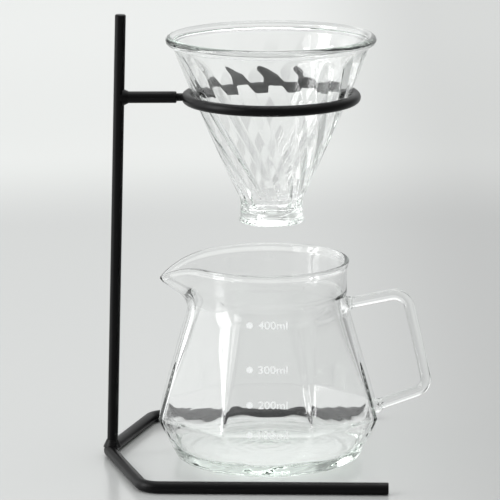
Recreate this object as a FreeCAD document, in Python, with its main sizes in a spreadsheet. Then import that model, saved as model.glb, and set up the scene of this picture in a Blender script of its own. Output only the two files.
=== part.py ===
import FreeCAD, Part
import math
import os
import Sketcher
from FreeCAD import Placement, Rotation, Vector

# A pour-over coffee set: a black steel wire stand, a swirled glass dripper that
# hangs in the stand's ring, and an eight-sided glass server under it.
# Millimetres, +Z up. The origin is the middle of the server's foot, on the table.
# +X points from the upright towards the server's handle, -Y is the front.

SIZES = (
    # base: one rod bent four-sided and open on the right, lying on the table
    ("base_rod_diameter", 5.5, "steel rod of the base"),
    ("front_leg_reach", 54.3, "middle to the cut end of the front leg"),
    ("rear_leg_reach", 50.5, "middle to the cut end of the rear leg"),
    ("leg_splay", 3.0, "how much further out a leg's cut end lies than its bend"),
    ("corner_reach", 55.6, "middle to the bend between leg and diagonal"),
    ("vertex_reach", 74.3, "middle to the bend under the upright"),
    ("half_spread", 63.5, "middle to a leg's centre line at its bend"),
    ("corner_bend", 9.0, "bend radius of the rod's centre line at a leg"),
    ("vertex_bend", 8.0, "bend radius of the rod's centre line at the upright"),
    ("rod_chamfer", 0.4, "broken edge on a cut rod end"),
    # upright, arm and ring
    ("upright_diameter", 5.0, "steel rod of the upright"),
    ("upright_inset", 1.6, "corner of the bend to the upright's axis"),
    ("upright_top", 207.6, "table to the upright's end"),
    ("upright_lean", 1.7, "degrees towards the ring"),
    ("arm_diameter", 5.4, "steel rod of the arm"),
    ("ring_height", 169.5, "table to the ring's centre line"),
    ("ring_offset", 1.8, "server's axis to the ring's axis"),
    ("ring_radius", 38.5, "centre line of the ring"),
    ("ring_wire_diameter", 5.0, "steel wire of the ring"),
    ("ring_weld_length", 2.2, "weld between the arm's end and the ring"),
    ("ring_weld_diameter", 3.6, "weld between the arm's end and the ring"),
    ("foot_weld_leg", 1.7, "fillet weld round the upright's foot"),
    ("arm_weld_leg", 1.3, "fillet weld round the arm's root"),
    # dripper: one piece of pressed glass with swirled ribs
    ("seat_gap", 0.3, "ring to the cone that rests in it"),
    ("rim_radius", 46.9, "outside of the cone at the rim"),
    ("cone_low_radius", 15.4, "outside of the cone where the neck ends"),
    ("cone_bow", 0.8, "how far the cone's side stands out from straight"),
    ("cone_height", 73.4, "neck to rim"),
    ("neck_radius", 14.3, "outside of the dripper's neck"),
    ("neck_height", 12.7, "foot to the start of the cone"),
    ("dripper_foot_radius", 15.0, "outside of the foot's lip"),
    ("dripper_foot_height", 2.0, "height of the foot's lip"),
    ("foot_edge", 0.5, "broken edges of the foot's lip"),
    ("foot_flare", 1.2, "from the foot's lip up to the straight neck"),
    ("neck_taper", 3.5, "from the straight neck up to the cone"),
    ("dripper_wall", 2.4, "glass of the cone between the ribs"),
    ("rim_bead_diameter", 4.0, "rolled rim"),
    ("rib_count", 16, "swirled ribs"),
    ("rib_depth", 0.9, "ribs on the inside"),
    ("swirl_slope", 0.4, "sideways run of a rib for each millimetre down"),
    ("drip_hole_diameter", 10.5, "hole in the floor"),
    ("drip_floor", 2.6, "glass round the drip hole"),
    ("floor_level", 0.8, "level glass round the drip hole"),
    ("bowl_width", 1.6, "from the lowest ribs in to the bowl's floor"),
    ("bowl_depth", 3.2, "the bowl's slope over the floor"),
    ("rib_start", 1.5, "cone's lower end to the lowest point of the ribs inside"),
    ("foot_recess_radius", 12.2, "hollow under the floor"),
    ("foot_recess_depth", 1.4, "hollow under the floor"),
    # server: one piece of glass, round foot and neck, eight flat sides
    ("side_count", 8, "flat sides"),
    ("shoulder_radius", 54.5, "middle to a corner at the widest"),
    ("shoulder_height", 22.3, "table to the widest"),
    ("foot_radius", 36.0, "flat of the foot"),
    ("foot_round", 12.0, "rounded edge of the foot"),
    ("facet_foot_radius", 42.0, "where the lower facets would meet the table"),
    ("facet_spread", 11.25, "degrees between the lines that fan down"),
    ("server_neck_radius", 36.0, "outside of the neck"),
    ("server_neck_height", 79.0, "table to where the neck is round"),
    ("blend_height", 8.0, "from a side's top corner up to the round neck"),
    ("blend_curve", 16.2, "hollow curve from a side to the neck"),
    ("collar_height", 14.8, "round neck from where it starts up to the lip"),
    ("lip_flare", 1.8, "how far the lip stands out from the neck"),
    ("lip_height", 6.0, "how far down the lip's flare starts"),
    ("lip_curve", 14.4, "hollow curve of the lip's flare"),
    ("server_wall", 2.0, "glass of the sides"),
    ("server_floor", 8.0, "glass of the foot"),
    ("floor_round", 7.0, "inside edge of the floor"),
    ("foot_extra_wall", 1.0, "more glass at the foot's rounded edge"),
    ("spout_reach", 50.1, "middle to the tip of the spout"),
    ("spout_drop", 8.6, "lip to the tip of the spout"),
    ("spout_depth", 22.8, "lip down to where the spout leaves the neck"),
    ("spout_fall", 28.1, "middle to where the lip starts to fall towards the tip"),
    ("spout_tip_radius", 2.3, "outside of the spout's tip"),
    ("spout_wall", 1.7, "glass of the spout"),
    # server's handle: a bent glass rod
    ("handle_diameter", 5.0, "glass rod"),
    ("handle_root_height", 72.6, "table to the rod where it leaves the neck"),
    ("handle_top_gap", 13.6, "server's side line to the upper bend"),
    ("handle_top_height", 78.3, "table to the upper bend"),
    ("handle_low_gap", 23.9, "server's side line to the lower bend"),
    ("handle_low_height", 32.7, "table to the lower bend"),
    ("handle_foot_rise", 1.5, "widest of the server to the rod's lower end"),
    ("handle_upper_bend", 7.5, "bend radius of the rod's centre line"),
    ("handle_lower_bend", 6.0, "bend radius of the rod's centre line"),
)

ROOT_OVERLAP = 1.5          # a rod's length inside the piece that it is cut to fit
WELD_BITE = 0.9             # a weld's length inside the rod that it sits on
WELD_TOE = 0.15             # thickness that a weld runs out to
CONE_SECTIONS = 7           # levels that the cone's walls are drawn through
SWIRL_STEPS = 40            # steps that a crease's turn is summed in
RIM_BITE = 0.2              # share of the rim bead's thickness from its middle to the cone's side
RIM_SINK = 0.25             # share of the bead's radius by which the cone ends under its top
FOOT_ARC = 0.75             # how far up its quarter circle the server's foot is rounded
FOOT_ARC_REACH = math.sqrt(1 - (1 - FOOT_ARC) ** 2)
RIDGE_SINK = 0.3            # how far the inside's ridge lies lower, for each millimetre of wall
SPOUT_SWELL = ((0.27, 0.17), (0.58, 0.56))  # shares of the spout's height and reach
SPOUT_LEAN = 0.9            # the tip's run outwards for each millimetre up
SPOUT_SINK = 0.3            # how far the spout's sections lie inside the neck's skin
BLANK_CLEAR = 0.5           # a blank's outside past the corners of what it is cut with
OVERRUN = 1.0               # a cutting shape past what it cuts

doc = FreeCAD.newDocument("pour_over_dripper_stand")
sheet = doc.addObject("Spreadsheet::Sheet", "sizes")
for row, (alias, value, note) in enumerate(SIZES, start=1):
    sheet.set(f"A{row}", alias)
    sheet.set(f"B{row}", str(value))
    sheet.set(f"C{row}", note)
    sheet.setAlias(f"B{row}", alias)
doc.recompute()


def size(expression):
    """Value of an expression in the sheet's aliases."""
    return float(sheet.evalExpression(expression))


def bind(obj, prop, expression):
    """Tie a property to the sheet."""
    obj.setExpression(prop, expression)


def origin_plane(body, role):
    for feature in body.Origin.OriginFeatures:
        if feature.Role == role:
            return feature
    raise ValueError(f"{body.Label} has no {role}")


def new_body(name):
    return doc.addObject("PartDesign::Body", name)


def new_sketch(body, name, plane):
    sketch = body.newObject("Sketcher::SketchObject", name)
    sketch.AttachmentSupport = [(origin_plane(body, plane), "")]
    sketch.MapMode = "FlatFace"
    return sketch


def fix_point(sketch, geometry, end, across, up):
    """Hold a point of a sketch at two expressions, measured from the origin."""
    for kind, expression in (("DistanceX", across), ("DistanceY", up)):
        value = size(expression)
        if expression == "0":
            axis = -2 if kind == "DistanceX" else -1
            sketch.addConstraint(Sketcher.Constraint("PointOnObject", geometry, end, axis))
            continue
        if value >= 0:
            rule = Sketcher.Constraint(kind, -1, 1, geometry, end, value)
        else:
            rule = Sketcher.Constraint(kind, geometry, end, -1, 1, -value)
            expression = f"-({expression})"
        index = sketch.addConstraint(rule)
        sketch.setExpression(f"Constraints[{index}]", expression)


def bent_path(sketch, corners, bends):
    """Straight runs through the corners, joined by tangent arcs."""
    points = [Vector(size(across), size(up), 0) for across, up in corners]
    radii = [size(bend) for bend in bends]
    starts = [points[0]]
    arcs = []
    for before, corner, after, radius in zip(points, points[1:], points[2:], radii):
        way_in = (corner - before).normalize()
        way_out = (after - corner).normalize()
        turn = way_in.getAngle(way_out)
        reach = radius * math.tan(turn / 2)
        middle = corner + (way_out - way_in).normalize() * (radius / math.cos(turn / 2) - radius)
        begin, end = corner - way_in * reach, corner + way_out * reach
        arcs.append((begin, middle, end))
        starts.append(end)
    stops = [arc[0] for arc in arcs] + [points[-1]]
    # the runs and bends are added in order, so the path starts with Edge1
    pieces = []
    for index, (begin, end) in enumerate(zip(starts, stops)):
        pieces.append(sketch.addGeometry(Part.LineSegment(begin, end)))
        if index < len(arcs):
            pieces.append(sketch.addGeometry(arc_through(*arcs[index])))
    runs, rounds = pieces[0::2], pieces[1::2]
    fix_point(sketch, runs[0], 1, *corners[0])
    fix_point(sketch, runs[-1], 2, *corners[-1])
    for run, after, bend, corner, at in zip(runs, runs[1:], rounds, corners[1:], points[1:]):
        mark = sketch.addGeometry(Part.Point(at), True)
        fix_point(sketch, mark, 1, *corner)
        sketch.addConstraint(Sketcher.Constraint("PointOnObject", mark, 1, run))
        sketch.addConstraint(Sketcher.Constraint("PointOnObject", mark, 1, after))
        first = near_end(sketch, bend, sketch.Geometry[run].EndPoint)
        sketch.addConstraint(Sketcher.Constraint("Tangent", run, 2, bend, first))
        sketch.addConstraint(Sketcher.Constraint("Tangent", after, 1, bend, 3 - first))
    for bend, expression in zip(rounds, bends):
        index = sketch.addConstraint(Sketcher.Constraint("Radius", bend, size(expression)))
        sketch.setExpression(f"Constraints[{index}]", expression)


def arc_through(begin, middle, end):
    """Arc through three points; a sketch wants it to run anticlockwise."""
    if (middle - begin).cross(end - middle).z < 0:
        begin, end = end, begin
    return Part.Arc(begin, middle, end)


def near_end(sketch, arc, point):
    """Which end of an arc, 1 or 2, lies at a point."""
    shape = sketch.Geometry[arc]
    return 1 if (shape.StartPoint - point).Length < (shape.EndPoint - point).Length else 2


def closed_outline(sketch, corners):
    """Closed outline of lines and arcs. A corner is (across, up), or (across, up,
    radius, side) where an arc leads to it, bulging to the left (1) or right (-1)."""
    points = [Vector(size(corner[0]), size(corner[1]), 0) for corner in corners]
    edges = []
    for index, corner in enumerate(corners):
        begin, end = points[index - 1], points[index]
        if len(corner) == 2:
            edges.append((sketch.addGeometry(Part.LineSegment(begin, end)), 1, 2))
            continue
        radius, side = size(corner[2]), corner[3]
        chord = end - begin
        left = Vector(-chord.y, chord.x, 0).normalize()
        rise = radius - math.sqrt(radius * radius - chord.Length * chord.Length / 4)
        middle = (begin + end) / 2 + left * (side * rise)
        arc = sketch.addGeometry(arc_through(begin, middle, end))
        first = near_end(sketch, arc, begin)
        edges.append((arc, first, 3 - first))
        rule = sketch.addConstraint(Sketcher.Constraint("Radius", arc, radius))
        sketch.setExpression(f"Constraints[{rule}]", corner[2])
    for index, corner in enumerate(corners):
        edge, _, last = edges[index]
        following, first, _ = edges[(index + 1) % len(edges)]
        sketch.addConstraint(Sketcher.Constraint("Coincident", edge, last, following, first))
        fix_point(sketch, edge, last, corner[0], corner[1])


def turned_body(name, corners):
    """Outline in the XZ plane, turned round the Z axis."""
    body = new_body(name)
    sketch = new_sketch(body, f"{name}_outline", "XZ_Plane")
    closed_outline(sketch, corners)
    turn = body.newObject("PartDesign::Revolution", f"{name}_turn")
    turn.Profile = sketch
    turn.ReferenceAxis = (sketch, ["V_Axis"])
    turn.Angle = 360
    body.Tip = turn
    return body


def chamfer_ends(body, feature, places, expression):
    """Break the round edges of a rod at the given places."""
    doc.recompute()
    picked = []
    for number, edge in enumerate(feature.Shape.Edges, start=1):
        round_edge = isinstance(edge.Curve, Part.Circle) and edge.isClosed()
        if round_edge and any((edge.Curve.Center - place).Length < 0.01 for place in places):
            picked.append(f"Edge{number}")
    chamfer = body.newObject("PartDesign::Chamfer", f"{body.Name}_chamfer")
    chamfer.Base = (feature, picked)
    bind(chamfer, "Size", expression)
    body.Tip = chamfer


def bent_rod(name, plane, corners, bends, diameter):
    """Round rod along a bent path."""
    body = new_body(name)
    path = new_sketch(body, f"{name}_path", plane)
    bent_path(path, corners, bends)
    doc.recompute()
    section = body.newObject("Sketcher::SketchObject", f"{name}_section")
    section.AttachmentSupport = [(path, "Vertex1"), (path, "Edge1")]
    section.MapMode = "NormalToEdge"
    section.addGeometry(Part.Circle(Vector(0, 0, 0), Vector(0, 0, 1), size(diameter) / 2))
    section.addConstraint(Sketcher.Constraint("Coincident", 0, 3, -1, 1))
    rule = section.addConstraint(Sketcher.Constraint("Diameter", 0, size(diameter)))
    section.setExpression(f"Constraints[{rule}]", diameter)
    pipe = body.newObject("PartDesign::AdditivePipe", f"{name}_pipe")
    pipe.Profile = section
    pipe.Spine = path
    body.Tip = pipe
    return body, pipe


def straight_rod(name, diameter, length):
    """Round rod along Z from the body's own origin, with its far edge broken."""
    body = new_body(name)
    sketch = new_sketch(body, f"{name}_section", "XY_Plane")
    sketch.addGeometry(Part.Circle(Vector(0, 0, 0), Vector(0, 0, 1), size(diameter) / 2))
    sketch.addConstraint(Sketcher.Constraint("Coincident", 0, 3, -1, 1))
    rule = sketch.addConstraint(Sketcher.Constraint("Diameter", 0, size(diameter)))
    sketch.setExpression(f"Constraints[{rule}]", diameter)
    pad = body.newObject("PartDesign::Pad", f"{name}_pad")
    pad.Profile = sketch
    bind(pad, "Length", length)
    chamfer_ends(body, pad, [Vector(0, 0, size(length))], "sizes.rod_chamfer")
    return body


def cut(name, base, *tools):
    """Base less each tool in turn. The last cut carries the name."""
    for index, tool in enumerate(tools, start=1):
        last = index == len(tools)
        step = doc.addObject("Part::Cut", name if last else f"{name}_step_{index}")
        step.Base = base
        step.Tool = tool
        base = step
    return base


def feature(name, shape):
    obj = doc.addObject("Part::Feature", name)
    obj.Shape = shape
    return obj


def pair(kind, name, first, second):
    """Part::Common of two objects, or their Part::Fuse."""
    obj = doc.addObject(kind, name)
    obj.Base = first
    obj.Tool = second
    return obj


# Base rod: rear leg, rear diagonal, bend under the upright, front diagonal, front leg.

def make_base_rod():
    corners = [
        ("sizes.front_leg_reach", "-(sizes.half_spread + sizes.leg_splay)"),
        ("-sizes.corner_reach", "-sizes.half_spread"),
        ("-sizes.vertex_reach", "0"),
        ("-sizes.corner_reach", "sizes.half_spread"),
        ("sizes.rear_leg_reach", "sizes.half_spread + sizes.leg_splay"),
    ]
    bends = ["sizes.corner_bend", "sizes.vertex_bend", "sizes.corner_bend"]
    body, pipe = bent_rod("base_rod", "XY_Plane", corners, bends, "sizes.base_rod_diameter")
    spread = size("sizes.half_spread + sizes.leg_splay")
    ends = [Vector(size("sizes.front_leg_reach"), -spread, 0), Vector(size("sizes.rear_leg_reach"), spread, 0)]
    chamfer_ends(body, pipe, ends, "sizes.rod_chamfer")
    bind(body, "Placement.Base.z", "sizes.base_rod_diameter / 2")
    return body


# Upright: stands on the bend, coped to the base rod and leaning a little to the ring.

UPRIGHT_FOOT_X = "-(sizes.vertex_reach - sizes.upright_inset)"


def make_upright_rod(base_rod):
    foot = "sizes.base_rod_diameter / 2"
    length = f"(sizes.upright_top - {foot}) / cos(sizes.upright_lean)"
    rod = straight_rod("upright_blank", "sizes.upright_diameter", length)
    rod.Placement = Placement(Vector(0, 0, 0), Rotation(Vector(0, 1, 0), size("sizes.upright_lean")))
    bind(rod, "Placement.Rotation.Angle", "sizes.upright_lean")
    bind(rod, "Placement.Base.x", UPRIGHT_FOOT_X)
    bind(rod, "Placement.Base.z", foot)
    return cut("upright_rod", rod, base_rod)


def make_foot_weld(base_rod, upright_rod):
    """Fillet weld round the upright's foot, coped to both rods."""
    cone = doc.addObject("Part::Cone", "foot_weld_cone")
    bind(cone, "Radius1", "sizes.upright_diameter / 2 + sizes.foot_weld_leg")
    bind(cone, "Radius2", f"sizes.upright_diameter / 2 + {WELD_TOE}")
    bind(cone, "Height", "sizes.foot_weld_leg * 2")
    bind(cone, "Placement.Base.x", UPRIGHT_FOOT_X)
    bind(cone, "Placement.Base.z", f"sizes.base_rod_diameter - {WELD_BITE}")
    return cut("foot_weld", cone, base_rod, upright_rod)


# Arm: from the upright to just short of the ring, with a weld at each end.

ARM_ROOT_X = f"({UPRIGHT_FOOT_X} + tan(sizes.upright_lean) * sizes.ring_height)"
RING_OUTSIDE_X = "(sizes.ring_offset - sizes.ring_radius - sizes.ring_wire_diameter / 2)"


def make_support_arm(upright_rod):
    length = f"{RING_OUTSIDE_X} - sizes.ring_weld_length - {ARM_ROOT_X}"
    rod = straight_rod("arm_blank", "sizes.arm_diameter", length)
    rod.Placement = Placement(Vector(0, 0, 0), Rotation(Vector(0, 1, 0), 90))
    bind(rod, "Placement.Base.x", ARM_ROOT_X)
    bind(rod, "Placement.Base.z", "sizes.ring_height")
    return cut("support_arm", rod, upright_rod)


def make_arm_weld(upright_rod, support_arm):
    cone = doc.addObject("Part::Cone", "arm_weld_cone")
    cone.Placement = Placement(Vector(0, 0, 0), Rotation(Vector(0, 1, 0), 90))
    bind(cone, "Radius1", "sizes.arm_diameter / 2 + sizes.arm_weld_leg")
    bind(cone, "Radius2", f"sizes.arm_diameter / 2 + {WELD_TOE}")
    bind(cone, "Height", "sizes.arm_weld_leg * 2")
    bind(cone, "Placement.Base.x", f"{ARM_ROOT_X} + sizes.upright_diameter / 2 - {WELD_BITE}")
    bind(cone, "Placement.Base.z", "sizes.ring_height")
    return cut("arm_weld", cone, upright_rod, support_arm)


def make_dripper_ring():
    ring = doc.addObject("Part::Torus", "dripper_ring")
    bind(ring, "Radius1", "sizes.ring_radius")
    bind(ring, "Radius2", "sizes.ring_wire_diameter / 2")
    bind(ring, "Placement.Base.x", "sizes.ring_offset")
    bind(ring, "Placement.Base.z", "sizes.ring_height")
    return ring


def make_ring_weld(ring):
    """Weld bead that bridges the arm's end and the ring."""
    bead = doc.addObject("Part::Cylinder", "ring_weld_bead")
    bead.Placement = Placement(Vector(0, 0, 0), Rotation(Vector(0, 1, 0), 90))
    bind(bead, "Radius", "sizes.ring_weld_diameter / 2")
    bind(bead, "Height", "sizes.ring_weld_length + sizes.ring_wire_diameter / 2")
    bind(bead, "Placement.Base.x", f"{RING_OUTSIDE_X} - sizes.ring_weld_length")
    bind(bead, "Placement.Base.z", "sizes.ring_height")
    return cut("ring_weld", bead, ring)


# Dripper: its cone hangs in the ring, so the ring sets its height.

def swirled_section(radius, height, depth, turn, count):
    """Closed wire of outward arcs that meet in creases, turned by an angle."""
    step = 2 * math.pi / count
    edges = []
    for index in range(count):
        angles = [turn + (index + share) * step for share in (0, 0.5, 1)]
        reaches = [radius - depth, radius, radius - depth]
        points = [Vector(r * math.cos(a), r * math.sin(a), height) for r, a in zip(reaches, angles)]
        edges.append(Part.Arc(*points).toShape())
    return Part.Wire(edges)


def cone_crest(height):
    """Outside radius of the cone at a height above the foot."""
    share = (height - size("sizes.neck_height")) / size("sizes.cone_height")
    low = size("sizes.cone_low_radius")
    high = size("sizes.rim_radius")
    return low + (high - low) * share + 4 * size("sizes.cone_bow") * share * (1 - share)


def swirl(height):
    """Angle that a crease has turned through on its way down from the rim."""
    rim = size("sizes.neck_height") + size("sizes.cone_height")
    step = (rim - height) / SWIRL_STEPS
    middles = [height + (index + 0.5) * step for index in range(SWIRL_STEPS)]
    return size("sizes.swirl_slope") * sum(step / cone_crest(middle) for middle in middles)


def cone_levels(low, high):
    return [low + (high - low) * index / (CONE_SECTIONS - 1) for index in range(CONE_SECTIONS)]


def plain_cone(low, high):
    """Cone with its bowed side, before its inside is pressed."""
    side = Part.BSplineCurve()
    side.interpolate([Vector(cone_crest(height), 0, height) for height in cone_levels(low, high)])
    corners = [side.EndPoint, Vector(0, 0, high), Vector(0, 0, low), side.StartPoint]
    outline = Part.Wire([side.toShape()] + Part.makePolygon(corners).Edges)
    return Part.Face(outline).revolve(Vector(0, 0, 0), Vector(0, 0, 1), 360)


def swirled_cone(low, high, inset, depth):
    """Cone whose creases run round it as they go down."""
    count = int(size("sizes.rib_count"))
    wires = [swirled_section(cone_crest(height) - inset, height, depth, swirl(height), count)
             for height in cone_levels(low, high)]
    return Part.makeLoft(wires, True, False)


def revolved(points):
    """Solid of revolution round Z from its outline's (radius, height) corners."""
    outline = [Vector(radius, 0, height) for radius, height in points]
    face = Part.Face(Part.makePolygon(outline + outline[:1]))
    return face.revolve(Vector(0, 0, 0), Vector(0, 0, 1), 360)


def ring_seat():
    """Height above the foot of the ring's centre line, one gap off the cone's side."""
    clear = size("sizes.ring_wire_diameter") / 2 + size("sizes.seat_gap")
    low = size("sizes.neck_height")
    high = low + size("sizes.cone_height")
    for _ in range(60):
        touch = (low + high) / 2
        lean = math.atan(cone_crest(touch + 0.5) - cone_crest(touch - 0.5))
        if cone_crest(touch) + clear * math.cos(lean) < size("sizes.ring_radius"):
            low = touch
        else:
            high = touch
    return touch - clear * math.sin(lean)


def make_dripper():
    neck, neck_top = size("sizes.neck_radius"), size("sizes.neck_height")
    foot, foot_top = size("sizes.dripper_foot_radius"), size("sizes.dripper_foot_height")
    rib = size("sizes.rib_depth")
    rim = neck_top + size("sizes.cone_height")
    bead = size("sizes.rim_bead_diameter") / 2
    hole = size("sizes.drip_hole_diameter") / 2
    recess, recess_top = size("sizes.foot_recess_radius"), size("sizes.foot_recess_depth")
    floor_top = recess_top + size("sizes.drip_floor")
    edge, flare, taper = (size(f"sizes.{name}") for name in ("foot_edge", "foot_flare", "neck_taper"))
    cone = plain_cone(neck_top, rim - bead * RIM_SINK)
    low = cone_crest(neck_top)
    stem = revolved([
        (0, 0), (foot - edge, 0), (foot, edge), (foot, foot_top - edge),
        (neck, foot_top + flare), (neck, neck_top - taper), (low, neck_top),
        (low, neck_top + OVERRUN), (0, neck_top + OVERRUN),
    ])
    bead_middle = size("sizes.rim_radius") - 2 * bead * RIM_BITE
    rim_bead = Part.makeTorus(bead_middle, bead, Vector(0, 0, rim - bead))
    # the inside: a bowl that narrows to the drip hole, then the ribbed cone
    lean = math.atan2(size("sizes.rim_radius") - neck, rim - neck_top)
    across = size("sizes.dripper_wall") / math.cos(lean)
    bowl_top = neck_top + size("sizes.rib_start")
    inside = swirled_cone(bowl_top, rim + bead, across, rib)
    inner = cone_crest(bowl_top) - across - rib
    level, width, depth = (size(f"sizes.{name}") for name in ("floor_level", "bowl_width", "bowl_depth"))
    bowl = revolved([
        (0, floor_top), (hole + level, floor_top), (inner - width, floor_top + depth),
        (inner, bowl_top), (inner, bowl_top + OVERRUN), (0, bowl_top + OVERRUN),
    ])
    drip_hole = Part.makeCylinder(hole, floor_top + 2 * OVERRUN, Vector(0, 0, -OVERRUN))
    under = Part.makeCylinder(recess, recess_top + OVERRUN, Vector(0, 0, -OVERRUN))
    glass = cone.fuse([stem, rim_bead]).cut([inside, bowl, drip_hole, under]).removeSplitter()
    dripper = feature("dripper", glass)
    height = size("sizes.ring_height") - ring_seat()
    dripper.Placement = Placement(Vector(size("sizes.ring_offset"), 0, height), Rotation())
    return dripper


# Server: a round blank with flat sides, hollowed the same way and given a spout.

RIM_HEIGHT = "(sizes.server_neck_height + sizes.collar_height)"


def faceted_block(inset):
    """Flat-sided block: a fan of facets below the widest, and a straight taper above it that
    stops at the neck. From there up the block is wide, so that the neck stays round."""
    sides = int(size("sizes.side_count"))
    half = math.pi / sides
    widest = size("sizes.shoulder_radius") - inset / math.cos(half)
    foot = size("sizes.facet_foot_radius") - inset / math.cos(half)
    neck = (size("sizes.server_neck_radius") - inset) / math.cos(half)
    neck_top = size("sizes.server_neck_height")
    levels = [
        (widest, size("sizes.shoulder_height") - inset * RIDGE_SINK),
        (neck, neck_top - size("sizes.blend_height") / 2),
        (neck, neck_top),
        (widest, neck_top + OVERRUN),
        (widest, size(RIM_HEIGHT) + 2 * OVERRUN),
    ]
    spread = math.radians(size("sizes.facet_spread"))

    def at(radius, angle, height):
        return Vector(radius * math.cos(angle), radius * math.sin(angle), height)

    corner = [half + 2 * half * index for index in range(sides)]
    faces = []
    low_ring = []
    for index, angle in enumerate(corner):
        after = corner[(index + 1) % sides]
        for (wide, low), (narrow, high) in zip(levels, levels[1:]):
            faces.append([at(wide, angle, low), at(wide, after, low),
                          at(narrow, after, high), at(narrow, angle, high)])
        here, there = at(widest, angle, levels[0][1]), at(widest, after, levels[0][1])
        fan = [at(foot, angle + share * spread, 0) for share in (-1, 0, 1)]
        beyond = at(foot, after - spread, 0)
        faces.append([here, fan[0], fan[1]])
        faces.append([here, fan[1], fan[2]])
        faces.append([here, fan[2], beyond, there])
        low_ring += fan
    faces.append([at(levels[-1][0], angle, levels[-1][1]) for angle in corner])
    faces.append(low_ring)
    shell = Part.makeShell([Part.Face(Part.makePolygon(face + face[:1])) for face in faces])
    solid = Part.makeSolid(shell)
    if solid.Volume < 0:
        solid.reverse()
    return solid


def teardrop(radius, reach, tip, height):
    """Circle drawn out to a rounded tip at -X by its two tangents."""
    centre = reach - tip
    lean = math.acos((radius - tip) / centre)
    touch = math.pi - lean
    far = Vector(-centre, 0, height)

    def big(angle):
        return Vector(radius * math.cos(angle), radius * math.sin(angle), height)

    def small(angle):
        return far + Vector(tip * math.cos(angle), tip * math.sin(angle), 0)

    edges = [
        Part.Arc(big(-touch), big(0), big(touch)).toShape(),
        Part.LineSegment(big(touch), small(touch)).toShape(),
        Part.Arc(small(touch), small(math.pi), small(-touch)).toShape(),
        Part.LineSegment(small(-touch), big(-touch)).toShape(),
    ]
    return Part.Wire(edges)


def spout_block(inset):
    """Spout grown out of the neck; its sections sit just inside the neck's skin."""
    rim = size(RIM_HEIGHT)
    start = rim - size("sizes.spout_depth")
    tip_height = rim - size("sizes.spout_drop")
    top = rim + OVERRUN
    reach = size("sizes.spout_reach") - inset
    radius = size("sizes.server_neck_radius") - inset - SPOUT_SINK
    tip = size("sizes.spout_tip_radius") - inset
    levels = [(start, radius + SPOUT_SINK)]
    for up, out in SPOUT_SWELL:
        levels.append((start + (tip_height - start) * up, radius + (reach - radius) * out))
    levels += [(tip_height, reach), (top, reach + (top - tip_height) * SPOUT_LEAN)]
    return Part.makeLoft([teardrop(radius, far, tip, level) for level, far in levels], True, False)


def make_server_body():
    foot, foot_round = "sizes.foot_radius", "sizes.foot_round"
    neck, neck_top = "sizes.server_neck_radius", "sizes.server_neck_height"
    foot_out = f"({foot} + {foot_round} * {FOOT_ARC_REACH})"
    # the blank's outside runs just clear of the corners between the flat sides
    clear = f"(sizes.shoulder_radius + {BLANK_CLEAR})"
    side_top = f"({neck_top} - sizes.blend_height)"
    fall = f"(sizes.shoulder_radius - {neck} / cos(180 / sizes.side_count))"
    rise = f"({neck_top} - sizes.blend_height / 2 - sizes.shoulder_height)"
    climb = f"({side_top} - sizes.shoulder_height)"
    corner_at_top = f"({clear} - {fall} * {climb} / {rise})"
    flare = f"({neck} + sizes.lip_flare)"
    flare_start = f"({RIM_HEIGHT} - sizes.lip_height)"
    top = f"({RIM_HEIGHT} + {OVERRUN})"
    blank = turned_body("server_blank", [
        ("0", "0"),
        (foot, "0"),
        (foot_out, f"{foot_round} * {FOOT_ARC}", foot_round, -1),
        (clear, "sizes.shoulder_height"),
        (corner_at_top, side_top),
        (neck, neck_top, "sizes.blend_curve", 1),
        (neck, flare_start),
        (flare, top, "sizes.lip_curve", 1),
        ("0", top),
    ])
    wall, floor, floor_round = "sizes.server_wall", "sizes.server_floor", "sizes.floor_round"
    floor_out = f"({foot_out} - {wall} - sizes.foot_extra_wall)"
    inner_neck = f"({neck} - sizes.spout_wall)"
    above = f"({top} + {OVERRUN})"
    cavity = turned_body("cavity_blank", [
        ("0", floor),
        (f"({floor_out} - {floor_round} * {FOOT_ARC_REACH})", floor),
        (floor_out, f"{floor} + {floor_round} * {FOOT_ARC}", floor_round, -1),
        (f"({clear} - {wall})", f"sizes.shoulder_height + {wall}"),
        (f"({corner_at_top} - {wall})", side_top),
        (inner_neck, neck_top, "sizes.blend_curve", 1),
        (inner_neck, flare_start),
        (f"({flare} - sizes.spout_wall)", above, "sizes.lip_curve", 1),
        ("0", above),
    ])
    flats = feature("server_flats", faceted_block(0))
    inner_flats = feature("cavity_flats", faceted_block(size(wall)))
    outside = pair("Part::Common", "server_outside", blank, flats)
    hollow = pair("Part::Common", "server_hollow", cavity, inner_flats)
    spout = feature("spout_outside", spout_block(0))
    channel = feature("spout_channel", spout_block(size("sizes.spout_wall")))
    solid = pair("Part::Fuse", "server_solid", outside, spout)
    space = pair("Part::Fuse", "server_space", hollow, channel)
    return solid, cut("server_body", solid, space, make_lip_trim())


def make_lip_trim():
    """What is taken off above the lip: level, then falling in an arc to the spout's tip."""
    body = new_body("lip_trim")
    sketch = new_sketch(body, "lip_trim_outline", "XZ_Plane")
    run = "(sizes.spout_reach - sizes.spout_fall)"
    drop = "sizes.spout_drop"
    radius = f"({run} * {run} + {drop} * {drop}) / (2 * {drop})"
    tip_height = f"({RIM_HEIGHT} - {drop})"
    side = "(sizes.shoulder_radius + sizes.spout_reach)"
    top = f"({RIM_HEIGHT} + sizes.spout_reach)"
    closed_outline(sketch, [
        ("-sizes.spout_reach", tip_height),
        ("-sizes.spout_fall", RIM_HEIGHT, radius, 1),
        (side, RIM_HEIGHT),
        (side, top),
        (f"-{side}", top),
        (f"-{side}", f"{tip_height} - {drop}"),
    ])
    pad = body.newObject("PartDesign::Pad", "lip_trim_pad")
    pad.Profile = sketch
    pad.Midplane = True
    bind(pad, "Length", "sizes.shoulder_radius * 3")
    body.Tip = pad
    return body


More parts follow.
